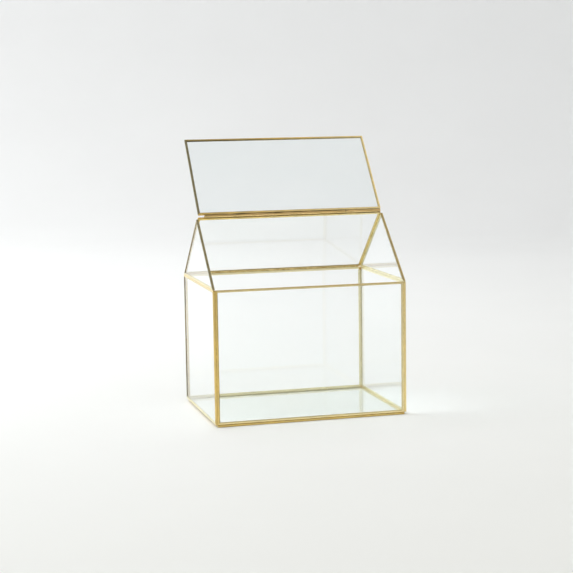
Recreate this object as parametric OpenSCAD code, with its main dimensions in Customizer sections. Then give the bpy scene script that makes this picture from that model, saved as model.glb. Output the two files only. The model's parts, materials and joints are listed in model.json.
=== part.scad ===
/* [Box] */
// Outside width, from end wall to end wall
box_w = 260; // [200:1:320]
// Outside depth, from front wall to back wall
box_d = 188; // [150:1:220]
// Height of the four walls, up to the eaves
eave_h = 178; // [120:1:220]
// Height of the gables above the eaves
gable_rise = 84; // [70:1:100]
/* [Brass channel] */
// Outside thickness of a channel, across the glass
channel_t = 3.1; // [2.7:0.1:3.2]
// Width of a channel's two faces, over the glass
channel_f = 3.1; // [2.5:0.1:3.5]
// Thickness of the brass that the channel is folded from
brass_t = 0.5; // [0.3:0.05:0.5]
// Free play between the glass and each wall of its channel
glass_play = 0.05; // [0.03:0.01:0.1]
// How far the floor, the roof and the lid lap over the end walls
end_lap = 0.6; // [0.4:0.1:1]
/* [Lid and hinge] */
// How far the lid opens, from shut to leaning back
open_angle = 171.5; // [150:0.5:174]
// Gap under the shut lid
lid_gap = 0.3; // [0.3:0.05:0.5]
// Outside diameter of the hinge tube
knuckle_d = 3.8; // [3.6:0.1:4]
// Diameter of the hinge rod
rod_d = 2; // [1.6:0.1:2.2]
// Gap between the rod and the centre knuckle, all round
rod_play = 0.05; // [0.03:0.01:0.08]
// Gap between the hinge tube and the channels it lies along
knuckle_gap = 0.2; // [0.15:0.05:0.3]
// Length of the left end knuckle. The right one is longer, as it starts further out
left_knuckle_l = 42; // [20:1:60]
// How far the left end knuckle starts in from the lid's end
left_knuckle_inset = 9; // [5:1:15]
// How far the right end knuckle starts in from the lid's end
right_knuckle_inset = 1.2; // [1:0.1:15]
// Gap between neighbouring knuckles
knuckle_space = 0.5; // [0.4:0.1:1]
// How far the rod stands out of each end knuckle
rod_proud = 0.8; // [0.3:0.1:2]

/* [Hidden] */
$fn = 48;

brass_colour = [0.79, 0.64, 0.35];
solder_colour = [0.72, 0.55, 0.30];
glass_colour = [0.86, 0.95, 0.92, 0.35];

// Roof geometry: both slopes start from the ridge line, where their inner faces meet
roof_angle = atan2(gable_rise, box_d / 2);
slope_l = norm([gable_rise, box_d / 2]);
apex_z = eave_h + gable_rise;
// The roof's lower edge stands out past the back wall, so the walls sit this far off the middle
walls_y = -channel_t * sin(roof_angle) / 2;

// Inner faces of the walls, and the half width of the panels that lap over the end walls
inner_x = box_w / 2 - channel_t;
inner_y = box_d / 2 - channel_t;
lap_x = inner_x + end_lap;

// Glass and the groove it sits in
groove_w = channel_t - 2 * brass_t;
glass_t = groove_w - 2 * glass_play;

// How far a bore is cut past the ends of its tube
cut_past = 1;

// The hinge tube lies in the open V between the ridge channel and the lid's hinge channel. The rod is
// tinned into the end knuckles and turns in the centre one
tinning = 0.01;
knuckle_r = knuckle_d / 2;
bore_r = rod_d / 2 + rod_play;
soldered_bore_r = rod_d / 2 + tinning;
seat_r = knuckle_r + knuckle_gap;
axis_z = apex_z + seat_r / sin(roof_angle);
seat_depth = seat_r / tan(roof_angle);
// The end knuckles' inner ends stand this far off the middle, and their middles at their own x
knuckle_gap_x = lap_x - left_knuckle_inset - left_knuckle_l;
centre_knuckle_l = 2 * (knuckle_gap_x - knuckle_space);
right_knuckle_l = lap_x - right_knuckle_inset - knuckle_gap_x;
left_knuckle_x = -knuckle_gap_x - left_knuckle_l / 2;
right_knuckle_x = knuckle_gap_x + right_knuckle_l / 2;

// Solder
seam_w = 1.8;
seam_h = 2.2;
seam_inset = 3;
bead_r = 2.1;
bead_drop = 2.6;
dab_r = 1.2;
dab_t = 0.2;
tack_inset = 1;
tack_rise = 0.55;
tack_depth = 1.1;
stop_t = 0.45;
// The stop bead's angles about the hinge: from just clear of the lid's channel to just touching the
// ridge channel when the lid is open
stop_reach = acos(seat_r / (knuckle_r + stop_t));
stop_from = 180 + roof_angle - open_angle - stop_reach;
stop_to = stop_reach - roof_angle;

// Sides of a rectangular outline, in the order of its corners
BOTTOM = 0;
RIGHT = 1;
TOP = 2;
LEFT = 3;
// Sides of a gable's outline
BASE = 0;
FAR = 1;
NEAR = 2;

function rectangle(x0, y0, x1, y1) = [[x0, y0], [x1, y0], [x1, y1], [x0, y1]];

floor_outline = rectangle(-lap_x, -box_d / 2, lap_x, box_d / 2);
front_outline = rectangle(-inner_x, channel_t, inner_x, eave_h);
side_outline = rectangle(-box_d / 2, channel_t, box_d / 2, eave_h);
gable_outline = [[-box_d / 2, eave_h], [box_d / 2, eave_h], [0, apex_z]];
roof_outline = rectangle(-lap_x, 0, lap_x, slope_l);
lid_outline = rectangle(-lap_x, -seat_r - slope_l, lap_x, -seat_r);

// A convex outline, anticlockwise, moved in by the distance d
function inward(a, b) = let (u = (b - a) / norm(b - a)) [-u[1], u[0]];
function inset(p, d) = [
    for (i = [0 : len(p) - 1])
        let (before = inward(p[(i + len(p) - 1) % len(p)], p[i]))
        let (after = inward(p[i], p[(i + 1) % len(p)]))
        p[i] + d * (before + after) / (1 + before * after)
];

// Where each panel stands. Inside a panel's frame, z = 0 is its inner face and +z points outwards
module at_walls() translate([0, walls_y, 0]) children();
module at_floor() at_walls() translate([0, 0, channel_t]) rotate([180, 0, 0]) children();
module at_front() at_walls() translate([0, -inner_y, 0]) rotate([90, 0, 0]) children();
module at_back() at_walls() translate([0, inner_y, 0]) rotate([90, 0, 180]) children();
module at_left() at_walls() translate([-inner_x, 0, 0]) rotate([90, 0, -90]) children();
module at_right() at_walls() translate([inner_x, 0, 0]) rotate([90, 0, 90]) children();
module at_roof() at_walls() translate([0, 0, apex_z]) rotate([-roof_angle, 0, 0]) children();
module at_hinge() at_walls() translate([0, 0, axis_z]) children();
module at_hinge_body() at_hinge() rotate([-roof_angle, 0, 0]) children();
module at_hinge_lid() at_hinge() rotate([roof_angle - open_angle, 0, 0]) children();
module at_lid() at_hinge_lid() translate([0, 0, lid_gap - seat_depth]) children();

// A pane, held a little short of the bottom of its channels
module pane(outline)
    color(glass_colour)
    translate([0, 0, brass_t + glass_play])
    linear_extrude(glass_t)
    polygon(inset(outline, brass_t + glass_play));

// The U channel along one side of an outline, mitred at both ends. The groove is cut past the mitres
module channel(outline, side) {
    next = (side + 1) % len(outline);
    inner = inset(outline, channel_f);
    run = outline[next] - outline[side];
    into = inward(outline[side], outline[next]);
    groove_start = outline[side] - run + brass_t * into;
    groove_end = outline[next] + run + brass_t * into;
    mouth = channel_f * into;
    color(brass_colour)
    difference() {
        linear_extrude(channel_t)
            polygon([outline[side], outline[next], inner[next], inner[side]]);
        translate([0, 0, brass_t])
            linear_extrude(groove_w)
            polygon([groove_start, groove_end, groove_end + mouth, groove_start + mouth]);
    }
}

module floor_glass() at_floor() pane(floor_outline);
module floor_channel_front() at_floor() channel(floor_outline, TOP);
module floor_channel_back() at_floor() channel(floor_outline, BOTTOM);
module floor_channel_left() at_floor() channel(floor_outline, LEFT);
module floor_channel_right() at_floor() channel(floor_outline, RIGHT);

module front_glass() at_front() pane(front_outline);
module front_channel_bottom() at_front() channel(front_outline, BOTTOM);
module front_channel_top() at_front() channel(front_outline, TOP);
module front_channel_left() at_front() channel(front_outline, LEFT);
module front_channel_right() at_front() channel(front_outline, RIGHT);

module back_glass() at_back() pane(front_outline);
module back_channel_bottom() at_back() channel(front_outline, BOTTOM);
module back_channel_top() at_back() channel(front_outline, TOP);
module back_channel_left() at_back() channel(front_outline, RIGHT);
module back_channel_right() at_back() channel(front_outline, LEFT);

module left_glass() at_left() pane(side_outline);
module left_channel_bottom() at_left() channel(side_outline, BOTTOM);
module left_channel_top() at_left() channel(side_outline, TOP);
module left_channel_front() at_left() channel(side_outline, RIGHT);
module left_channel_back() at_left() channel(side_outline, LEFT);

module right_glass() at_right() pane(side_outline);
module right_channel_bottom() at_right() channel(side_outline, BOTTOM);
module right_channel_top() at_right() channel(side_outline, TOP);
module right_channel_front() at_right() channel(side_outline, LEFT);
module right_channel_back() at_right() channel(side_outline, RIGHT);

module left_gable_glass() at_left() pane(gable_outline);
module left_gable_channel_base() at_left() channel(gable_outline, BASE);
module left_gable_channel_front() at_left() channel(gable_outline, FAR);
module left_gable_channel_back() at_left() channel(gable_outline, NEAR);

module right_gable_glass() at_right() pane(gable_outline);
module right_gable_channel_base() at_right() channel(gable_outline, BASE);
module right_gable_channel_front() at_right() channel(gable_outline, NEAR);
module right_gable_channel_back() at_right() channel(gable_outline, FAR);

module roof_glass() at_roof() pane(roof_outline);
module roof_channel_ridge() at_roof() channel(roof_outline, BOTTOM);
module roof_channel_eave() at_roof() channel(roof_outline, TOP);
module roof_channel_left() at_roof() channel(roof_outline, LEFT);
module roof_channel_right() at_roof() channel(roof_outline, RIGHT);

module lid_glass() at_lid() pane(lid_outline);
module lid_channel_hinge() at_lid() channel(lid_outline, TOP);
module lid_channel_lip() at_lid() channel(lid_outline, BOTTOM);
module lid_channel_left() at_lid() channel(lid_outline, LEFT);
module lid_channel_right() at_lid() channel(lid_outline, RIGHT);

// The beads of solder inside the corners: an eighth of a ball on the floor, a quarter at each
// eave, and a wedge of one under each end of the ridge
module corner_solder()
    color(solder_colour)
    at_walls()
    for (x_side = [-1, 1]) {
        for (y_side = [-1, 1])
            translate([x_side * inner_x, y_side * inner_y, 0])
            mirror([x_side > 0 ? 1 : 0, 0, 0])
            mirror([0, y_side > 0 ? 1 : 0, 0]) {
                translate([0, 0, channel_t])
                intersection() {
                    sphere(bead_r);
                    cube(bead_r);
                }
                translate([0, 0, eave_h - bead_drop])
                intersection() {
                    sphere(bead_r);
                    translate([0, 0, -bead_r])
                        cube([bead_r, bead_r, 2 * bead_r]);
                }
            }
        translate([x_side * inner_x, 0, apex_z])
        mirror([x_side > 0 ? 1 : 0, 0, 0])
        intersection() {
            sphere(bead_r);
            rotate([90, 0, 90])
                linear_extrude(bead_r)
                polygon(bead_r * [[0, 0], [0, -1], [2 * cos(roof_angle), -2 * sin(roof_angle)]]);
        }
    }

// One fillet along a seam, in a right-angled notch that opens towards -x and +z
module seam(length)
    rotate([-90, 0, 0])
    linear_extrude(length)
    polygon([[0, 0], [-seam_w, 0], [0, -seam_h]]);

// The fillets under the end walls' bottom channels, along the floor's ends
module floor_seam_solder()
    color(solder_colour)
    at_floor()
    for (x_side = [0, 1])
        mirror([x_side, 0, 0])
        translate([-lap_x, -box_d / 2 + seam_inset, 0])
        seam(box_d - 2 * seam_inset);

// The fillets over the gables' back channels, along the roof's ends
module roof_seam_solder()
    color(solder_colour)
    at_roof()
    for (x_side = [0, 1])
        mirror([x_side, 0, 0])
        translate([-lap_x, seam_inset, 0])
        seam(slope_l - 2 * seam_inset);

// The fillet inside the back eave, between the back wall's top channel and the roof
module eave_seam_solder()
    color(solder_colour)
    at_walls()
    translate([seam_inset - inner_x, box_d / 2, eave_h])
    rotate([90, 0, 90])
    linear_extrude(2 * (inner_x - seam_inset))
    polygon(seam_w * [[0, 0], [-1, tan(roof_angle)], [-1, 0]]);

// A length of hinge tube on the hinge axis
module knuckle(length, bore)
    color(brass_colour)
    rotate([0, 90, 0])
    difference() {
        cylinder(r = knuckle_r, h = length, center = true);
        cylinder(r = bore, h = length + 2 * cut_past, center = true);
    }

// The solder between a knuckle and the channel on its +y side
module tack(length)
    difference() {
        translate([-length / 2, seat_r - tack_depth / 2, -tack_depth])
            cube([length, tack_depth / 2, tack_depth + tack_rise]);
        rotate([0, 90, 0])
            cylinder(r = knuckle_r, h = length + 2 * cut_past, center = true);
    }

// The bead along the back of an end knuckle. It meets the ridge channel and stops the open lid
module stop_bead(length)
    rotate([90, 0, 90])
    translate([0, 0, -length / 2])
    linear_extrude(length)
    difference() {
        intersection() {
            circle(knuckle_r + stop_t);
            polygon(2 * knuckle_d * [
                [0, 0],
                [cos(stop_to), sin(stop_to)],
                [cos(stop_from), sin(stop_from)]
            ]);
        }
        circle(knuckle_r);
    }

module hinge_knuckle_centre() at_hinge() knuckle(centre_knuckle_l, bore_r);
module hinge_knuckle_left()
    at_hinge()
    translate([left_knuckle_x, 0, 0])
    knuckle(left_knuckle_l, soldered_bore_r);
module hinge_knuckle_right()
    at_hinge()
    translate([right_knuckle_x, 0, 0])
    knuckle(right_knuckle_l, soldered_bore_r);
module centre_knuckle_solder() color(solder_colour) at_hinge_body() tack(centre_knuckle_l - 2 * tack_inset);

module end_knuckle_solder()
    color(solder_colour)
    for (knuckle = [[left_knuckle_x, left_knuckle_l], [right_knuckle_x, right_knuckle_l]]) {
        at_hinge_lid()
            translate([knuckle[0], 0, 0])
            mirror([0, 1, 0])
            tack(knuckle[1] - 2 * tack_inset);
        at_hinge()
            translate([knuckle[0], 0, 0])
            stop_bead(knuckle[1] - 2 * tack_inset);
    }

module hinge_rod()
    color(brass_colour)
    at_hinge()
    translate([left_knuckle_x - left_knuckle_l / 2 - rod_proud, 0, 0])
    rotate([0, 90, 0])
    cylinder(d = rod_d, h = left_knuckle_l + 2 * knuckle_gap_x + right_knuckle_l + 2 * rod_proud);

// The dabs of solder over the four mitres, on the lid's outer face
module lid_corner_solder()
    color(solder_colour)
    at_lid()
    for (corner = inset(lid_outline, channel_f / 2))
        translate([corner[0], corner[1], channel_t])
        cylinder(r = dab_r, h = dab_t);

floor_glass();
floor_channel_front();
floor_channel_back();
floor_channel_left();
floor_channel_right();
front_glass();
front_channel_bottom();
front_channel_top();
front_channel_left();
front_channel_right();
back_glass();
back_channel_bottom();
back_channel_top();
back_channel_left();
back_channel_right();
left_glass();
left_channel_bottom();
left_channel_top();
left_channel_front();
left_channel_back();
right_glass();
right_channel_bottom();
right_channel_top();
right_channel_front();
right_channel_back();
left_gable_glass();
left_gable_channel_base();
left_gable_channel_front();
left_gable_channel_back();
right_gable_glass();
right_gable_channel_base();
right_gable_channel_front();
right_gable_channel_back();
roof_glass();
roof_channel_ridge();
roof_channel_eave();
roof_channel_left();
roof_channel_right();
corner_solder();
floor_seam_solder();
roof_seam_solder();
eave_seam_solder();
hinge_knuckle_centre();
centre_knuckle_solder();
lid_glass();
lid_channel_hinge();
lid_channel_lip();
lid_channel_left();
lid_channel_right();
lid_corner_solder();
hinge_knuckle_left();
hinge_knuckle_right();
end_knuckle_solder();
hinge_rod();
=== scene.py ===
"""A wedding card box of soldered brass channel and glass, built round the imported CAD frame.

Every piece is made from the CAD nodes' own measures. Lengths are in metres unless a name ends in _MM.
"""

import json
import math
import bmesh
import bpy
import numpy as np
from mathutils import Matrix, Vector, noise


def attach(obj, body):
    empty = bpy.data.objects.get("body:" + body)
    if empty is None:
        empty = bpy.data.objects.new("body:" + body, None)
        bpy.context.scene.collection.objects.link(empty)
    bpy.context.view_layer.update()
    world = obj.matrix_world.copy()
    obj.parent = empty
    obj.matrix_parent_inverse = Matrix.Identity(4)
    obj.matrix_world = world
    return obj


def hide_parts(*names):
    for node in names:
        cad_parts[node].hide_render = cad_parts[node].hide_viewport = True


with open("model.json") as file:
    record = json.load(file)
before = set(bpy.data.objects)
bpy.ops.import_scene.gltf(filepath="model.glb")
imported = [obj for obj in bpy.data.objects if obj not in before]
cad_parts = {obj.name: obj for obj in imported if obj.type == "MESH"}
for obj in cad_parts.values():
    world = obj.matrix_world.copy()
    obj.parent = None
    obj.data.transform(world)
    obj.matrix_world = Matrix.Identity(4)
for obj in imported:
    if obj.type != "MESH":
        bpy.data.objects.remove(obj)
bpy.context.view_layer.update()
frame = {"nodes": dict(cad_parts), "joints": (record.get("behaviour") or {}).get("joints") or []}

MM = 0.001
X, Y, Z = Vector((1, 0, 0)), Vector((0, 1, 0)), Vector((0, 0, 1))

# ---------------------------------------------------------------- measures taken from the CAD frame


def turned(u, v):
    """The rotation whose columns are u, v and their normal."""
    return Matrix((u, v, u.cross(v))).transposed()


def local_box(nodes, turn=Matrix.Identity(3)):
    """Lowest and highest corner of some CAD nodes, measured in a turned frame."""
    back = turn.transposed()
    points = [back @ v.co for n in nodes for v in frame["nodes"][n].data.vertices]
    return (
        Vector(min(p[i] for p in points) for i in range(3)),
        Vector(max(p[i] for p in points) for i in range(3)),
    )


def size_of(*nodes):
    """The size of some CAD nodes together, along X, Y and Z."""
    low, high = local_box(nodes)
    return high - low


gable = size_of("left_gable_channel_front", "left_gable_channel_back")
ROOF_ANGLE = math.atan2(gable.z, gable.y / 2)
OPEN_ANGLE = math.radians(frame["joints"][0]["range_deg"][1])
HINGE = Vector(frame["joints"][0]["pos_m"])
FACE_W = size_of("front_channel_bottom").z
CHANNEL_T = size_of("front_channel_bottom").y
GLASS_T = size_of("front_glass").y
GLASS_PLAY = 0.05 * MM
SHEET_T = (CHANNEL_T - GLASS_T) / 2 - GLASS_PLAY

walls_low, walls_high = local_box(["left_channel_bottom", "right_channel_bottom"])
INNER_X = walls_high.x - CHANNEL_T
HALF_D = (walls_high.y - walls_low.y) / 2
INNER_Y = HALF_D - CHANNEL_T
LAP_X = size_of("floor_channel_front").x / 2
EAVE_Z = local_box(["front_channel_top"])[1].z
APEX_Z = EAVE_Z + gable.z

# Each panel: its frame, u and v in its plane and the normal outwards, and its sides in outline order
PANELS = {
    "floor": (turned(X, -Y), ("back", "right", "front", "left")),
    "front": (turned(X, Z), ("bottom", "right", "top", "left")),
    "back": (turned(-X, Z), ("bottom", "left", "top", "right")),
    "left": (turned(-Y, Z), ("bottom", "front", "top", "back")),
    "right": (turned(Y, Z), ("bottom", "back", "top", "front")),
    "left_gable": (turned(-Y, Z), ("base", "front", "back")),
    "right_gable": (turned(Y, Z), ("base", "back", "front")),
    "roof": (
        turned(X, Vector((0, math.cos(ROOF_ANGLE), -math.sin(ROOF_ANGLE)))),
        ("ridge", "right", "eave", "left"),
    ),
    "lid": (
        turned(X, Vector((0, math.cos(ROOF_ANGLE - OPEN_ANGLE), math.sin(ROOF_ANGLE - OPEN_ANGLE)))),
        ("lip", "right", "hinge", "left"),
    ),
}


def channel_name(panel, side):
    return f"{panel}_channel_{side}"


def outline_of(panel):
    """The panel's outline as (u, v) corners anticlockwise, and the level of its inner face."""
    turn, sides = PANELS[panel]
    low, high = local_box([channel_name(panel, s) for s in sides], turn)
    corners = [(low.x, low.y), (high.x, low.y), (high.x, high.y), (low.x, high.y)]
    if len(sides) == 3:
        corners = corners[:2] + [((low.x + high.x) / 2, high.y)]
    return [Vector(c) for c in corners], low.z


def body_of_panel(panel):
    return "lid" if panel == "lid" else "box"


# ---------------------------------------------------------------- mesh helpers

SHARP_ANGLE = math.radians(40)


def smoothstep(x):
    x = min(max(x, 0.0), 1.0)
    return x * x * (3 - 2 * x)


def ring_faces(steps, n):
    """The faces of a closed section of n points carried along in so many steps, with both ends shut."""
    faces = [
        (k * n + j, k * n + (j + 1) % n, (k + 1) * n + (j + 1) % n, (k + 1) * n + j)
        for k in range(steps)
        for j in range(n)
    ]
    return faces + [tuple(range(n)), tuple(range(steps * n, (steps + 1) * n))]


def new_piece(prefix, node, verts, faces, body, material, marks):
    """A mesh piece that rides on a CAD body and replaces a CAD node. marks gives float attributes, one
    value for each vertex."""
    name = prefix + node
    mesh = bpy.data.meshes.new(name)
    mesh.from_pydata([tuple(v) for v in verts], [], faces)
    for key, values in marks.items():
        kind = "FLOAT_VECTOR" if len(np.shape(values)) == 2 else "FLOAT"
        attribute = mesh.attributes.new(key, kind, "POINT")
        field = "vector" if kind == "FLOAT_VECTOR" else "value"
        attribute.data.foreach_set(field, np.asarray(values, np.float32).ravel())
    bm = bmesh.new()
    bm.from_mesh(mesh)
    bmesh.ops.recalc_face_normals(bm, faces=bm.faces)
    bm.to_mesh(mesh)
    bm.free()
    mesh.shade_smooth()
    mesh.set_sharp_from_angle(angle=SHARP_ANGLE)
    piece = bpy.data.objects.new(name, mesh)
    bpy.context.scene.collection.objects.link(piece)
    mesh.materials.append(material)
    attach(piece, body)
    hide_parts(node)


# ---------------------------------------------------------------- materials

NOISE_ROUGHNESS = 0.55
GLASS_IOR = 1.5


class Shader:
    """The node tree of a new material or world, and short calls that add its nodes."""

    def __init__(self, owner):
        owner.use_nodes = True
        self.owner = owner
        self.tree = owner.node_tree
        self.tree.nodes.clear()

    def feed(self, socket, value):
        if isinstance(value, bpy.types.NodeSocket):
            self.tree.links.new(value, socket)
        else:
            socket.default_value = value

    def node(self, kind, *inputs, **values):
        """A new node. inputs feed its first sockets, and values set its settings or feed named sockets."""
        made = self.tree.nodes.new("ShaderNode" + kind)
        for socket, value in zip(made.inputs, inputs):
            self.feed(socket, value)
        for key, value in values.items():
            if hasattr(made, key):
                setattr(made, key, value)
            else:
                self.feed(made.inputs[key.replace("_", " ")], value)
        return made

    def principled(self, **values):
        return self.node("BsdfPrincipled", **values).outputs["BSDF"]

    def mark(self, name, output="Fac"):
        """A mark that the mesh carries at each vertex."""
        return self.node("Attribute", attribute_name=name).outputs[output]

    def light_path(self, kind):
        return self.node("LightPath").outputs[kind]

    def place(self, scale=(1, 1, 1), source=None):
        """Object coordinates in metres, or another vector, scaled."""
        if source is None:
            source = self.node("TexCoord").outputs["Object"]
        return self.node("Mapping", Vector=source, Scale=scale).outputs["Vector"]

    def noise(self, vector, scale, detail):
        made = self.node("TexNoise", Vector=vector, Scale=scale, Detail=detail, Roughness=NOISE_ROUGHNESS)
        return made.outputs["Fac"]

    def span(self, value, low, high, start=0.0, end=1.0, smooth=True):
        """value from low..high, taken to start..end and clamped."""
        made = self.node("MapRange", Value=value, From_Min=low, From_Max=high, To_Min=start, To_Max=end)
        made.interpolation_type = "SMOOTHSTEP" if smooth else "LINEAR"
        return made.outputs["Result"]

    def total(self, a, b):
        return self.node("Math", a, b, operation="ADD").outputs["Value"]

    def product(self, a, b):
        return self.node("Math", a, b, operation="MULTIPLY").outputs["Value"]

    def blend(self, share, a, b):
        """The colour a, with a share of the colour b in it."""
        made = self.node("Mix", share, data_type="RGBA")
        for socket, value in ((made.inputs[6], a), (made.inputs[7], b)):
            self.feed(socket, value if isinstance(value, bpy.types.NodeSocket) else (*value, 1))
        return made.outputs[2]

    def bump(self, height, distance, strength, normal=None):
        made = self.node("Bump", Strength=strength, Distance=distance, Height=height)
        if normal is not None:
            self.feed(made.inputs["Normal"], normal)
        return made.outputs["Normal"]

    def either(self, share, first, second):
        """The first shader, or the second where share is 1."""
        return self.node("MixShader", share, first, second).outputs["Shader"]

    def finish(self, surface, output="OutputMaterial"):
        self.node(output, Surface=surface)
        return self.owner


def new_shader(name):
    return Shader(bpy.data.materials.new(name))


# What brass turns to, in places, the colours of painted shade and painted sheen on whole strips, and of
# dirt with painted shade along the lips
DRAWN_BROWN = (0.5, 0.34, 0.10)  # along its streaks
BLOTCH_BROWN = (0.42, 0.31, 0.12)
HEAT_BROWN = (0.40, 0.22, 0.06)
WORN_GOLD = (0.95, 0.76, 0.36)
# painted shade and painted sheen for whole strips, for how light falls on them
PAINTED_SHADE_OLIVE = (0.27, 0.26, 0.18)
PAINTED_SHEEN_GOLD = (1.0, 0.95, 0.66)
# dirt along the lips with painted shade in the gap at the glass, and painted shade on the hinge tube where
# it meets the channels
DIRT_AND_SHADE_BROWN = (0.17, 0.13, 0.06)
PALE_METALLIC = 0.72  # metallic on the strips with the most painted sheen: less metal lets diffuse light lighten them further


def brass_material(name, gold, olive, rough):
    """Satin brass sheet. The marks are wear, 1 along a fold, heat, 1 at a soldered end, a mark of 1 along
    a lip for dirt with painted shade in the gap at the glass (on the hinge tube, painted shade on its top
    and bottom), the strip's painted shade or painted sheen, above 0 darker and below 0 paler, and grain,
    the place along and across the strip in metres."""
    s = new_shader(name)
    grain = s.mark("grain", "Vector")
    cloud = s.noise(s.place(), 38, 4)
    streak = s.noise(s.place((60, 2600, 1), grain), 1.0, 3)
    speck = s.noise(s.place(), 900, 2)
    blotch = s.noise(s.place((110, 420, 1), grain), 1.0, 3)
    wear = s.mark("wear")
    painted_strip_light = s.mark("painted_strip_light")
    heat = s.product(s.mark("heat"), s.span(speck, 0.3, 0.7, 0.35, 1.0))
    # dirt along the lips with painted shade in the gap at the glass, and painted shade where the hinge
    # tube meets the channels
    dirt_and_crease_shade = s.product(s.mark("dirt_and_crease_shade"), s.span(cloud, 0.3, 0.6, 0.55, 0.9))

    colour = s.blend(s.span(cloud, 0.35, 0.65), gold, olive)
    colour = s.blend(s.span(streak, 0.45, 0.75, 0, 0.3), colour, DRAWN_BROWN)
    colour = s.blend(s.span(blotch, 0.56, 0.72, 0, 0.4), colour, BLOTCH_BROWN)
    colour = s.blend(heat, colour, HEAT_BROWN)
    colour = s.blend(s.product(wear, 0.5), colour, WORN_GOLD)
    # painted shade turns a whole strip olive and painted sheen turns it pale gold, for how light falls on
    # it
    colour = s.blend(s.span(painted_strip_light, 0, 1, smooth=False), colour, PAINTED_SHADE_OLIVE)
    colour = s.blend(s.span(painted_strip_light, 0, -1, smooth=False), colour, PAINTED_SHEEN_GOLD)
    # dirt and painted shade along the lips and in the hinge tube's gaps
    colour = s.blend(dirt_and_crease_shade, colour, DIRT_AND_SHADE_BROWN)

    roughness = s.total(s.span(streak, 0.3, 0.7, rough - 0.05, rough + 0.09), s.product(wear, -0.08))
    roughness = s.total(roughness, s.product(dirt_and_crease_shade, 0.25))
    # less metal on the strips with the most painted sheen, to lighten them further
    metallic = s.span(painted_strip_light, -0.3, -1, 1.0, PALE_METALLIC)
    normal = s.bump(streak, 0.004 * MM, 0.5)
    normal = s.bump(cloud, 0.12 * MM, 0.5, normal)
    return s.finish(s.principled(Base_Color=colour, Metallic=metallic, Roughness=roughness, Normal=normal))


def solder_material(name, pale, dark, burnt):
    """Brass-plated solder: lumpy, darker in its hollows. The mark burn is 1 where flux has browned it."""
    s = new_shader(name)
    lump = s.noise(s.place(), 420, 3)
    fine = s.noise(s.place(), 1900, 2)
    burn = s.product(s.mark("burn"), s.span(fine, 0.25, 0.6, 0.6, 1.0))
    colour = s.blend(s.span(lump, 0.32, 0.6), dark, pale)
    colour = s.blend(burn, colour, burnt)
    roughness = s.total(s.span(fine, 0.3, 0.7, 0.18, 0.36), s.product(burn, 0.2))
    normal = s.bump(lump, 0.2 * MM, 0.6)
    normal = s.bump(fine, 0.03 * MM, 0.5, normal)
    return s.finish(s.principled(Base_Color=colour, Metallic=1.0, Roughness=roughness, Normal=normal))


def glass_material(name, tint, veil):
    """Clear float glass. Rays from lamps pass straight through it, with the same tint."""
    s = new_shader(name)
    cloud = s.noise(s.place(), 9, 3)
    film = s.noise(s.place((1, 1, 3.5)), 26, 4)
    solid = s.principled(
        Base_Color=s.blend(s.span(cloud, 0.35, 0.65), tint, veil),
        Roughness=s.span(film, 0.45, 0.75, 0.0, 0.03),
        Transmission_Weight=1.0,
        IOR=GLASS_IOR,
        Specular_IOR_Level=0.35,
        Normal=s.bump(cloud, 0.02 * MM, 0.4),
    )
    clear = s.node("BsdfTransparent", Color=(*tint, 1)).outputs["BSDF"]
    return s.finish(s.either(s.light_path("Is Shadow Ray"), solid, clear))


brass = brass_material("channel_brass", (0.93, 0.665, 0.21), (0.84, 0.62, 0.23), 0.24)
hinge_brass = brass_material("hinge_brass", (0.96, 0.70, 0.34), (0.86, 0.62, 0.26), 0.16)
solder = solder_material("solder", (0.88, 0.68, 0.32), (0.55, 0.38, 0.14), (0.42, 0.20, 0.05))
wall_glass = glass_material("wall_glass", (0.992, 1.0, 1.0), (0.985, 0.998, 0.997))
floor_glass = glass_material("floor_glass", (0.98, 1.0, 0.99), (0.972, 0.995, 0.985))
lid_glass = glass_material("lid_glass", (0.965, 0.992, 0.995), (0.955, 0.988, 0.992))

# ---------------------------------------------------------------- brass channel

FOLD_R = 0.7 * MM
FOLD_INNER_R = 0.3 * MM
CROWN = 0.05 * MM  # how far the web's middle stands proud of its folds
LIP_CLOSE = 0.05 * MM  # how far the lips close on the glass
CORNER_R = 0.9 * MM
MITRE_SHARE = 0.293  # the share of CORNER_R where the filed corner meets the mitre
WAVE, WAVE_LENGTH = 0.045 * MM, 16 * MM  # how far the faces are from flat
DENT = 0.016 * MM  # the depth of the small dents in them
STIFF_END = 9 * MM  # the faces are flattest this near to a soldered end
HEAT_REACH = 10 * MM  # how far from its ends soldering has browned a strip, at most about
DIRT_AND_SHADE_W = 0.75 * MM  # the width of the line of dirt and painted shade along each lip
NEAR_RINGS_MM = (0.0, 0.12, 0.3, 0.6, 1.0, 1.6, 2.6, 4.2, 6.5)  # from each end
RING_STEP = 5 * MM  # between the rings further along

# Painted shade and painted sheen on each strip, for how light falls on it: above 0 it is painted darker,
# below 0 paler and brighter. A pair gives its two ends, in the panel's outline order.
PAINTED_STRIP_LIGHT = {
    "floor": {"back": -0.85, "right": -0.9, "front": 0.15, "left": -0.95},
    "front": {"bottom": -0.45, "right": -0.5, "top": -0.4, "left": 0.12},
    "back": {"bottom": -0.8, "left": 0.0, "top": -0.8, "right": -0.85},
    "left": {"bottom": -0.95, "front": 0.12, "top": -0.45, "back": 0.55},
    "right": {"bottom": -0.95, "back": -0.8, "top": -0.95, "front": -0.3},
    "left_gable": {"base": -0.7, "front": 0.8, "back": 0.6},
    "right_gable": {"base": -0.95, "back": -0.95, "front": 0.55},
    "roof": {"ridge": (0.0, -0.45), "right": -0.35, "eave": -0.5, "left": 0.0},
    "lid": {"lip": (0.45, -0.4), "right": -0.35, "hinge": (-0.45, 0.0), "left": 0.85},
}


def hash_number(text):
    """A steady number from a name, to seed its noise."""
    return sum((i + 1) * ord(c) for i, c in enumerate(text)) % 997 / 9.7


def arc(centre, radius, start, end, steps):
    """Points on an arc, angles in degrees."""
    out = []
    for k in range(steps + 1):
        a = math.radians(start + (end - start) * k / steps)
        out.append((centre[0] + radius * math.cos(a), centre[1] + radius * math.sin(a)))
    return out


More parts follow.
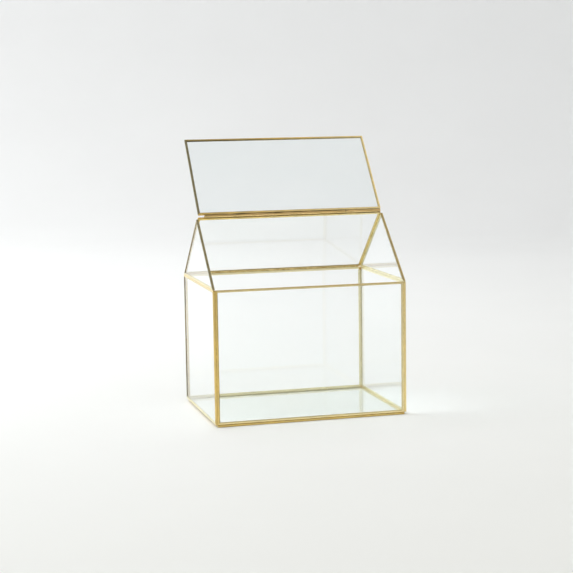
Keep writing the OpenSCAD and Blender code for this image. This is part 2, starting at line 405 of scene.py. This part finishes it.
def channel_profile():
    """The closed section of a channel. Its rows are depth from the web's back, level above the panel's
    inner face, 1 on a fold and 1 along a lip."""
    t, f, s = CHANNEL_T, FACE_W, SHEET_T
    lip = s / 2
    half = [(f - lip - 0.9 * MM, 0.0), (f - lip - 0.45 * MM, 0.01 * MM)]
    outer = arc((FOLD_R + CROWN, FOLD_R), FOLD_R, 270, 180, 5)
    web = [(CROWN * 0.3, t * 0.36), (0.0, t / 2), (CROWN * 0.3, t * 0.64)]
    rim = arc((f - lip, lip + LIP_CLOSE), lip, 90, -90, 4)
    inner = arc((s + FOLD_INNER_R, s + FOLD_INNER_R), FOLD_INNER_R, 180, 270, 3)
    lower = [*rim, *reversed(half), *outer]
    upper = [(d, t - h) for d, h in reversed(lower)]
    hollow = [(d, t - h) for d, h in inner[::-1]] + inner
    rows = []
    for d, h in [*lower, *web, *upper, *hollow]:
        fold = abs(d - FOLD_R * 0.3) < 0.35 * MM and min(h, t - h) < 0.4 * MM
        rows.append((d, h, float(fold), float(d > f - DIRT_AND_SHADE_W)))
    return rows


def ring_places(length):
    """Where the rings of a channel stand along it, as shares of its length: closer at its ends."""
    start = [p * MM / length for p in NEAR_RINGS_MM]
    first = start[-1]
    steps = max(2, round((length - 2 * NEAR_RINGS_MM[-1] * MM) / RING_STEP))
    middle = [first + (1 - 2 * first) * k / steps for k in range(1, steps)]
    return start + middle + [1 - p for p in reversed(start)]


def half_cot(before, corner, after):
    """How far a mitre runs along a side for each step of depth, at a corner of the outline."""
    return 1 / math.tan((before - corner).angle(after - corner) / 2)


def filed_back(end):
    """How far the rounding of the corner takes the web back, this far from a channel's end."""
    if end >= CORNER_R:
        return 0.0
    return CORNER_R - math.sqrt(CORNER_R**2 - (CORNER_R - max(end, MITRE_SHARE * CORNER_R)) ** 2)


def channel(panel, index):
    """One side of a panel: a folded channel, mitred, with its corners filed round and its faces not
    quite flat."""
    turn, sides = PANELS[panel]
    side = sides[index]
    outline, base = outline_of(panel)
    before, a, b, after = (outline[(index + k) % len(outline)] for k in (-1, 0, 1, 2))
    length = (b - a).length
    along = (b - a) / length
    into = Vector((-along.y, along.x))
    cot_a, cot_b = half_cot(before, a, b), half_cot(a, b, after)

    section = channel_profile()
    path = [0.0]
    for row, following in zip(section, section[1:]):
        path.append(path[-1] + math.dist(row[:2], following[:2]))
    places = ring_places(length)
    seed = Vector((hash_number(panel + side), 3.1, 7.7))
    # the strip's painted shade or sheen at its two ends
    strip_light_a, strip_light_b = np.broadcast_to(PAINTED_STRIP_LIGHT[panel][side], 2)

    verts = []
    marks = {key: [] for key in ("wear", "heat", "dirt_and_crease_shade", "painted_strip_light", "grain")}
    for share in places:
        end = min(share, 1 - share) * length
        filed = filed_back(end)
        loose = smoothstep(end / STIFF_END)
        # the strip's painted shade or sheen here
        painted_strip_light = float(strip_light_a + (strip_light_b - strip_light_a) * share)
        # the line of dirt and painted shade along the lips is darker on strips painted darker
        lip_darkness = min(max(0.7 + 0.8 * painted_strip_light, 0.05), 1.0)
        for (d, level, fold, lip), across in zip(section, path):
            depth = filed + d * (FACE_W - filed) / FACE_W
            s = depth * cot_a + share * (length - depth * (cot_a + cot_b))
            spot = Vector((s, across, 0)) / WAVE_LENGTH + seed
            wave = abs(noise.noise(spot)) * WAVE * loose
            dent = abs(noise.noise(spot * 3.3)) * DENT * loose
            from_middle = 1 - 2 * level / CHANNEL_T
            depth_move = wave * (1 - smoothstep(d / (0.6 * FACE_W)))
            level_move = (wave + dent) * from_middle * smoothstep(d / FACE_W + 0.3)
            point = a + along * s + into * (depth + depth_move)
            verts.append(turn @ Vector((point.x, point.y, base + level + level_move)))
            spread = HEAT_REACH * (0.55 + 0.5 * abs(noise.noise(spot * 0.9 + Z)))
            marks["wear"].append(fold * (0.5 + 0.5 * noise.noise(spot * 2.1)))
            marks["heat"].append(0.85 * (1 - smoothstep(end / spread)))
            # dirt along the lip with painted shade in its gap at the glass
            marks["dirt_and_crease_shade"].append(lip * lip_darkness * (0.85 + 0.3 * noise.noise(spot * 1.3)))
            # the strip's painted shade or sheen
            marks["painted_strip_light"].append(painted_strip_light)
            marks["grain"].append((s, across, seed.x))
    faces = ring_faces(len(places) - 1, len(section))
    node = channel_name(panel, side)
    new_piece("brass_", node, verts, faces, body_of_panel(panel), brass, marks)


for panel, (_, sides) in PANELS.items():
    for index in range(len(sides)):
        channel(panel, index)

# ---------------------------------------------------------------- glass

for panel in PANELS:
    slots = frame["nodes"][panel + "_glass"].data.materials
    slots.clear()
    slots.append({"floor": floor_glass, "lid": lid_glass}.get(panel, wall_glass))

# ---------------------------------------------------------------- solder

LUMP_STEP = 0.9 * MM  # between the rings of a run


class Lumps:
    """Runs, beads and dabs of solder, gathered into one piece."""

    def __init__(self, node, body):
        self.node, self.body = node, body
        self.verts, self.faces, self.burn = [], [], []

    def add(self, verts, faces, burn):
        first = len(self.verts)
        self.verts += verts
        self.faces += [tuple(first + i for i in f) for f in faces]
        self.burn += burn

    def seed(self, salt):
        return Vector((hash_number(self.node), len(self.verts) * 0.37, salt))

    def carry(self, start, end, u, v, section, taper, shape, burn):
        """Carries a section along a line. shape gives a point's place along u and v from its distance
        along the line, how full the run is there and its row of the section. burn gives its browning."""
        length = (end - start).length
        along = (end - start) / length
        rings = max(8, round(length / LUMP_STEP))
        verts, burns = [], []
        for k in range(rings + 1):
            s = length * k / rings
            full = smoothstep(min(s, length - s) / taper)
            for row in section:
                a, b = shape(s, full, *row)
                verts.append(start + along * s + u * a + v * b)
            burns += [burn(s)] * len(section)
        self.add(verts, ring_faces(rings, len(section)), burns)

    def run(self, start, end, u, v, section):
        """A run along a seam. The section's rows are a place along u and v from the seam's root, and
        how far noise may move it."""
        seed = self.seed(1.9)

        def shape(s, full, a, b, play):
            swell = 1 + 0.2 * noise.noise(Vector((s / (5 * MM), 0, 0)) + seed)
            size = swell * (0.2 + 0.8 * full)
            lump = play * noise.noise(Vector((s / (2.2 * MM), a / MM, b / MM)) + seed) * 0.5
            return a * size + lump, b * size + lump

        def burn(s):
            return 0.5 * smoothstep(2.5 * noise.noise(Vector((s / (11 * MM), 0, 7)) + seed) - 0.3)

        self.carry(start, end, u, v, section, 2.5 * MM, shape, burn)

    def axial_run(self, start, end, u, v, section):
        """A run along the hinge tube. Its section is measured from the tube's axis, and at its ends it
        sinks towards its own middle."""
        seed = self.seed(4.2)
        mid_a, mid_b = (sum(row[i] for row in section) / len(section) for i in (0, 1))

        def shape(s, full, a, b, play):
            size = 0.25 + 0.75 * full if play else 1
            lump = play * noise.noise(Vector((s / (2.6 * MM), a / MM, b / MM)) + seed)
            return mid_a + (a - mid_a) * size + lump, mid_b + (b - mid_b) * size + lump

        def burn(s):
            return 0.2 + 0.8 * smoothstep(3.0 * noise.noise(Vector((s / (12 * MM), 0, 3)) + seed) - 0.1)

        self.carry(start, end, u, v, section, 1.6 * MM, shape, burn)

    def bead(self, place, u, v, w, radius, lowest=0.0, burnt=0.0):
        """A bead in the corner between the planes across u and v, from the angle lowest up to w."""
        across, up = 8, 8 if lowest == 0 else 14
        seed = place * 90
        verts, burn = [place.copy()], [burnt]
        for j in range(up):
            rise = lowest + (math.pi / 2 - lowest) * j / up
            for k in range(across + 1):
                turn = math.pi / 2 * k / across
                way = (u * math.cos(turn) + v * math.sin(turn)) * math.cos(rise) + w * math.sin(rise)
                verts.append(place + way * radius * (0.97 + 0.14 * noise.noise(way * 1.7 + seed)))
                burn.append(burnt + 0.35 * abs(noise.noise(way * 2.3 + seed)))
        verts.append(place + w * radius * 0.97)
        burn.append(burnt)
        row = across + 1
        faces = []
        for j in range(up - 1):
            low = 1 + j * row
            high = low + row
            faces += [(low + k, low + k + 1, high + k + 1, high + k) for k in range(across)]
            faces += [(0, low, high), (0, high + across, low + across)]
        last, top = 1 + (up - 1) * row, len(verts) - 1
        faces += [(last + k, last + k + 1, top) for k in range(across)]
        faces += [(0, last, top), (0, top, last + across)]
        if lowest == 0:
            faces += [(0, k + 2, k + 1) for k in range(across)]
        self.add(verts, faces, burn)

    def dome(self, place, u, v, w, radius, height):
        """A dab on a flat face that looks along w."""
        around, rings = 28, 6
        seed = place * 70
        verts, burn = [place + w * height], [0.0]
        for j in range(1, rings + 1):
            share = j / rings
            for k in range(around):
                turn = math.tau * k / around
                way = u * math.cos(turn) + v * math.sin(turn)
                reach = radius * share * (0.95 + 0.12 * noise.noise(way * 1.1 + seed))
                verts.append(place + way * reach + w * height * (1 - share**3))
                burn.append(0.35 * share**3)
        pairs = [(k, (k + 1) % around) for k in range(around)]
        faces = [(0, 1 + k, 1 + following) for k, following in pairs]
        for j in range(rings - 1):
            low, high = 1 + j * around, 1 + (j + 1) * around
            faces += [(low + k, high + k, high + following, low + following) for k, following in pairs]
        faces.append(tuple(range(len(verts) - around, len(verts))))
        self.add(verts, faces, burn)

    def piece(self):
        marks = {"burn": self.burn}
        new_piece("lumps_", self.node, self.verts, self.faces, self.body, solder, marks)


SEAM_W, SEAM_H = 1.8 * MM, 2.2 * MM
SEAM_INSET = 3 * MM
SEAM_ROUGH, SEAM_EDGE_ROUGH = 0.16 * MM, 0.1 * MM  # how far noise may move a seam's face and edges
BEAD_R = 2.1 * MM
BEAD_DROP = 2.6 * MM
DAB_R, DAB_T = 1.2 * MM, 0.2 * MM
MIDDLE = Vector((0, HINGE.y, 0))  # the middle of the box on plan
UP_ROOF = Vector((0, -math.cos(ROOF_ANGLE), math.sin(ROOF_ANGLE)))


def fillet(width, height, rise):
    """A fillet's section: legs along u and v, and a face between them that stands out by rise."""
    face = []
    for k in range(1, 6):
        share = k / 6
        out = rise * math.sin(math.pi * share)
        face.append((width * (1 - share) + out, height * share + out, SEAM_ROUGH))
    return [(0, 0, 0), (width, 0, SEAM_EDGE_ROUGH), *face, (0, height, SEAM_EDGE_ROUGH)]


def end_seams(panel):
    """The fillets in the notches along both ends of the floor or the roof."""
    lumps = Lumps(panel + "_seam_solder", "box")
    turn, _ = PANELS[panel]
    corners, base = outline_of(panel)
    along = turn @ Y
    length = corners[2].y - corners[1].y - 2 * SEAM_INSET
    for side in (-1, 1):
        start = turn @ Vector((0, corners[0].y + SEAM_INSET, base))
        start.x = side * LAP_X
        lumps.run(start, start + along * length, X * side, turn @ Z, fillet(SEAM_W, SEAM_H, 0.12 * MM))
    lumps.piece()


def eave_seam():
    """The fillet inside the box, between the back wall's top channel and the roof's eave channel."""
    lumps = Lumps("eave_seam_solder", "box")
    start = MIDDLE + Vector((SEAM_INSET - INNER_X, HALF_D, EAVE_Z))
    section = fillet(SEAM_W, SEAM_W / math.cos(ROOF_ANGLE), -0.1 * MM)
    lumps.run(start, start + X * 2 * (INNER_X - SEAM_INSET), -Y, UP_ROOF, section)
    lumps.piece()


def corner_beads():
    """The beads inside the box's corners. Those on the right are browner."""
    lumps = Lumps("corner_solder", "box")
    for x_side, foot_burnt, head_burnt, ridge_burnt in ((-1, 0.0, 0.1, 0.1), (1, 0.25, 0.75, 0.4)):
        u = X * -x_side
        for y_side in (-1, 1):
            v = Y * -y_side
            foot = MIDDLE + Vector((x_side * INNER_X, y_side * INNER_Y, CHANNEL_T))
            head = MIDDLE + Vector((x_side * INNER_X, y_side * INNER_Y, EAVE_Z - BEAD_DROP))
            lumps.bead(foot, u, v, Z, BEAD_R, 0.0, foot_burnt)
            lumps.bead(head, u, v, Z, BEAD_R, -math.pi / 2, head_burnt)
        ridge_end = MIDDLE + Vector((x_side * INNER_X, 0, APEX_Z))
        lumps.bead(ridge_end, -UP_ROOF, -Z, u, BEAD_R * 0.8, 0.0, ridge_burnt)
    lumps.piece()


def lid_dabs():
    """The dabs on the outside of the lid's corners."""
    lumps = Lumps("lid_corner_solder", "lid")
    turn, _ = PANELS["lid"]
    corners, base = outline_of("lid")
    low, high = corners[0], corners[2]
    for x in (low.x + FACE_W / 2, high.x - FACE_W / 2):
        for y in (low.y + FACE_W / 2, high.y - FACE_W / 2):
            place = turn @ Vector((x, y, base + CHANNEL_T))
            lumps.dome(place, turn @ X, turn @ Y, turn @ Z, DAB_R, DAB_T)
    lumps.piece()


end_seams("floor")
end_seams("roof")
eave_seam()
corner_beads()
lid_dabs()

# ---------------------------------------------------------------- hinge

KNUCKLE_R = size_of("hinge_knuckle_left").z / 2
ROD_R = size_of("hinge_rod").z / 2
ROD_PLAY = 0.05 * MM
SEAT_R = (HINGE.z - APEX_Z) * math.sin(ROOF_ANGLE)
TACK_DEPTH, TACK_RISE = 1.1 * MM, 0.55 * MM
STOP_T = 0.45 * MM
STOP_REACH = math.acos(SEAT_R / (KNUCKLE_R + STOP_T))
STOP_FROM, STOP_TO = STOP_REACH - ROOF_ANGLE, math.pi + ROOF_ANGLE - OPEN_ANGLE - STOP_REACH
SINK = 0.03 * MM  # how far solder reaches into the tube it holds
TUBE_DENT = 0.03 * MM  # the depth of the dings in a tube or rod
END_WEAR = 0.6 * MM  # how far from its ends a tube or rod is polished
TUBE_END_MM = ((0.0, 0.22), (0.06, 0.08), (0.22, 0.0))  # distance from the end, and radius taken off
ROD_END_MM = ((0.0, 0.45), (0.04, 0.72), (0.14, 0.9), (0.35, 1.0))  # distance from the end, share of ROD_R


def span_x(node):
    """Where a piece of the hinge starts and ends."""
    return [c.x for c in local_box([node])]


def between(low, high, step):
    """Even places between two ends, without the ends."""
    count = max(2, round((high - low) / step))
    return [low + (high - low) * k / count for k in range(1, count)]


def lathe(node, body, profile, steps=48):
    """A turned piece on the hinge axis. profile: a closed loop of (x, radius)."""
    seed = Vector((hash_number(node), 0, 0))
    count = len(profile)
    low_x, high_x = min(x for x, _ in profile), max(x for x, _ in profile)
    verts = []
    marks = {key: [] for key in ("wear", "heat", "dirt_and_crease_shade", "grain", "painted_strip_light")}
    for x, r in profile:
        for k in range(steps):
            turn = math.tau * k / steps
            way = Vector((0, math.cos(turn), math.sin(turn)))
            ding = TUBE_DENT * abs(noise.noise(Vector((x / (6 * MM), way.y, way.z)) + seed))
            verts.append(Vector((x, HINGE.y, HINGE.z)) + way * max(r - ding, 0))
            patch = noise.noise(Vector((x / (14 * MM), way.y * 0.8, way.z * 0.8)) + seed)
            drift = noise.noise(Vector((x / (17 * MM), way.z * 0.4, 5)) + seed)
            marks["wear"].append(1 - smoothstep(min(x - low_x, high_x - x) / END_WEAR))
            marks["heat"].append(smoothstep(3.0 * patch - 0.1))
            # painted shade on the tube's top and bottom, in the gaps where it meets the channels
            marks["dirt_and_crease_shade"].append(smoothstep((abs(way.z) - 0.62 - 0.3 * drift) / 0.25))
            marks["grain"].append((x, turn * KNUCKLE_R, seed.x))
            marks["painted_strip_light"].append(0.0)
    faces = []
    for j in range(count):
        low, high = j * steps, (j + 1) % count * steps
        faces += [(low + k, low + (k + 1) % steps, high + (k + 1) % steps, high + k) for k in range(steps)]
    new_piece("turned_", node, verts, faces, body, hinge_brass, marks)


def knuckle(node, body, bore):
    """A length of drawn tube with its ends eased."""
    low, high = span_x(node)
    outside = [(low + x * MM, KNUCKLE_R - r * MM) for x, r in TUBE_END_MM]
    outside += [(x, KNUCKLE_R) for x in between(low + 0.3 * MM, high - 0.3 * MM, 2.5 * MM)]
    outside += [(high - x * MM, KNUCKLE_R - r * MM) for x, r in reversed(TUBE_END_MM)]
    lathe(node, body, outside + [(high, bore), (low, bore)])


def rod(node, body):
    """The rod, with its ends hammered into low domes round a small centre hole."""
    low, high = span_x(node)
    profile = [(low + x * MM, ROD_R * r) for x, r in ROD_END_MM]
    profile += [(x, ROD_R) for x in between(low + 0.6 * MM, high - 0.6 * MM, 6 * MM)]
    profile += [(high - x * MM, ROD_R * r) for x, r in reversed(ROD_END_MM)]
    lathe(node, body, profile, 32)


def tack_section():
    """Solder between the tube and a channel's back, which lies SEAT_R off the axis along u."""
    rows = [
        (SEAT_R, -TACK_DEPTH, 0),
        (SEAT_R, TACK_RISE, 0.05 * MM),
        (SEAT_R * 0.93, TACK_RISE * 1.05, 0.12 * MM),
    ]
    for k in range(6):
        b = TACK_RISE - (TACK_RISE + TACK_DEPTH) * k / 5
        rows.append((math.sqrt((KNUCKLE_R - SINK) ** 2 - b * b), b, 0))
    return rows


def stop_section():
    """The bead along the back of an end knuckle, thickest along its middle."""
    rows = []
    for k in range(7):
        share = k / 6
        a = STOP_FROM + (STOP_TO - STOP_FROM) * share
        r = KNUCKLE_R + STOP_T * math.sin(math.pi * share) ** 0.4 * 0.92
        rows.append((r * math.cos(a), r * math.sin(a), 0.05 * MM if 0 < k < 6 else 0))
    inner = arc((0, 0), KNUCKLE_R - SINK, math.degrees(STOP_TO), math.degrees(STOP_FROM), 6)
    return rows + [(y, z, 0) for y, z in inner]


def along_knuckle(lumps, node, u, v, section):
    """A run along a knuckle, short of its ends. Its section is measured from the hinge axis."""
    low, high = span_x(node)
    axis = Vector((0, HINGE.y, HINGE.z))
    lumps.axial_run(axis + X * (low + MM), axis + X * (high - MM), u, v, section)


def hinge_solder():
    """The tacks that hold the knuckles to the channels, and the stop beads behind the end knuckles."""
    roof_turn = Matrix.Rotation(-ROOF_ANGLE, 3, "X")
    lid_turn = Matrix.Rotation(ROOF_ANGLE - OPEN_ANGLE, 3, "X")

    centre = Lumps("centre_knuckle_solder", "box")
    along_knuckle(centre, "hinge_knuckle_centre", roof_turn @ Y, roof_turn @ Z, tack_section())
    centre.piece()

    ends = Lumps("end_knuckle_solder", "lid")
    for node in ("hinge_knuckle_left", "hinge_knuckle_right"):
        along_knuckle(ends, node, lid_turn @ -Y, lid_turn @ Z, tack_section())
        along_knuckle(ends, node, Y, Z, stop_section())
    ends.piece()


knuckle("hinge_knuckle_centre", "box", ROD_R + ROD_PLAY)
knuckle("hinge_knuckle_left", "lid", ROD_R)
knuckle("hinge_knuckle_right", "lid", ROD_R)
rod("hinge_rod", "lid")
hinge_solder()

# ---------------------------------------------------------------- studio

FLOOR_R, BEND_R, WALL_TOP = 2.4, 2.2, 4.5


def paper_material():
    """Matt white paper, faintly uneven."""
    s = new_shader("sweep_paper")
    cloud = s.span(s.noise(s.place(), 3, 3), 0.3, 0.7)
    tone = s.blend(cloud, (0.86, 0.865, 0.87), (0.87, 0.875, 0.88))
    return s.finish(s.principled(Base_Color=tone, Roughness=0.9))


def round_sheet(name, profile, material, steps=96):
    """A round sheet from rows of radius and height. A first radius of 0 closes its middle."""
    pairs = [(k, (k + 1) % steps) for k in range(steps)]
    verts, faces = [], []
    if profile[0][0] == 0:
        verts.append((0, 0, profile[0][1]))
        faces += [(0, 1 + k, 1 + following) for k, following in pairs]
        profile = profile[1:]
    first = len(verts)
    turns = [math.tau * k / steps for k in range(steps)]
    for r, z in profile:
        verts += [(r * math.cos(a), r * math.sin(a), z) for a in turns]
    for ring in range(len(profile) - 1):
        low, high = first + ring * steps, first + (ring + 1) * steps
        faces += [(low + k, high + k, high + following, low + following) for k, following in pairs]
    mesh = bpy.data.meshes.new(name)
    mesh.from_pydata(verts, [], faces)
    mesh.shade_smooth()
    mesh.materials.append(material)
    sheet = bpy.data.objects.new(name, mesh)
    bpy.context.scene.collection.objects.link(sheet)
    return sheet


def sweep():
    """A paper floor, and a wall that rises from its edge in one bend and is hidden in reflections."""
    paper = paper_material()
    round_sheet("sweep_floor", [(r, 0.0) for r in (0.0, 0.5, 1.0, 1.6, 2.0, FLOOR_R)], paper)
    bend = [math.radians(6 * k) for k in range(16)]
    rows = [(FLOOR_R + BEND_R * math.sin(a), BEND_R * (1 - math.cos(a))) for a in bend]
    rows += [(FLOOR_R + BEND_R, BEND_R + (WALL_TOP - BEND_R) * k / 4) for k in range(1, 5)]
    round_sheet("sweep_wall", rows, paper).visible_glossy = False


def softbox(name, place, aim, size, power, colour=(1, 1, 1)):
    """A rectangular lamp of so many watts, hidden from rays that shiny things reflect."""
    lamp = bpy.data.lights.new(name, "AREA")
    lamp.shape = "RECTANGLE"
    lamp.size, lamp.size_y = size
    lamp.energy = power
    lamp.color = colour
    made = bpy.data.objects.new(name, lamp)
    made.location = place
    made.rotation_mode = "QUATERNION"
    made.rotation_quaternion = (Vector(aim) - Vector(place)).to_track_quat("-Z", "Y")
    made.visible_glossy = False
    bpy.context.scene.collection.objects.link(made)


def studio_world():
    """Even light on matt things. Shiny things reflect a room instead: pale on the left and at the back,
    dark behind the camera, and dim overhead but lighter there towards the right."""
    world = bpy.data.worlds.new("studio")
    bpy.context.scene.world = world
    s = Shader(world)
    way = s.node("TexCoord").outputs["Generated"]
    x, y, z = s.node("SeparateXYZ", way).outputs
    room = s.blend(s.span(y, -0.7, 0.35), (0.34, 0.31, 0.27), (1.0, 1.0, 0.97))
    room = s.blend(s.span(s.product(x, -0.6), 0.15, 0.55), room, (1.15, 1.15, 1.15))
    over = s.blend(s.span(x, 0.1, 0.34), (0.36, 0.36, 0.36), (0.85, 0.83, 0.8))
    room = s.blend(s.span(z, 0.45, 0.8), room, over)
    even = s.node("Background", Color=(1, 1, 1, 1), Strength=0.6).outputs["Background"]
    seen = s.node("Background", Color=room, Strength=1.0).outputs["Background"]
    s.finish(s.either(s.light_path("Is Glossy Ray"), even, seen), "OutputWorld")


sweep()
softbox("left", (-1.6, 0.6, 2.2), (-0.4, 1.2, 0), (1.4, 1.0), 30.5, (0.95, 0.99, 1.0))
softbox("top_back", (-0.8, 1.8, 2.8), (-0.4, 2.2, 0), (1.4, 1.4), 22)
softbox("back_left", (-1.8, 1.6, 2.2), (-0.6, 2.8, 0.4), (1.2, 0.9), 11.5)
softbox("top_front", (0, -1.6, 3.2), (0, -1.2, 0), (2.0, 1.5), 12.5, (1.0, 0.92, 0.5))
studio_world()

# ---------------------------------------------------------------- camera

AZIMUTH, ELEVATION, ROLL = math.radians(-15.02), math.radians(7.29), math.radians(-0.84)
DISTANCE = 2.0698
LENS_MM, SENSOR_MM = 96.14, 36.0
AIM = Vector((-0.0076, HINGE.y, 0.1664))


def make_camera():
    """A long lens from the left and a little above, rolled slightly."""
    across = math.cos(ELEVATION)
    away = Vector((math.sin(AZIMUTH) * across, -math.cos(AZIMUTH) * across, math.sin(ELEVATION)))
    right = Vector((math.cos(AZIMUTH), math.sin(AZIMUTH), 0))
    up = away.cross(right)
    rolled_right = right * math.cos(ROLL) + up * math.sin(ROLL)
    rolled_up = up * math.cos(ROLL) - right * math.sin(ROLL)
    camera = bpy.data.objects.new("camera", bpy.data.cameras.new("camera"))
    place = Matrix.Translation(AIM + away * DISTANCE)
    camera.matrix_world = place @ turned(rolled_right, rolled_up).to_4x4()
    camera.data.lens = LENS_MM
    camera.data.sensor_width = SENSOR_MM
    bpy.context.scene.collection.objects.link(camera)
    bpy.context.scene.camera = camera


make_camera()

scene = bpy.context.scene
scene.view_settings.view_transform = "Standard"
scene.cycles.max_bounces = 16
scene.cycles.transmission_bounces = 16
scene.cycles.transparent_max_bounces = 32
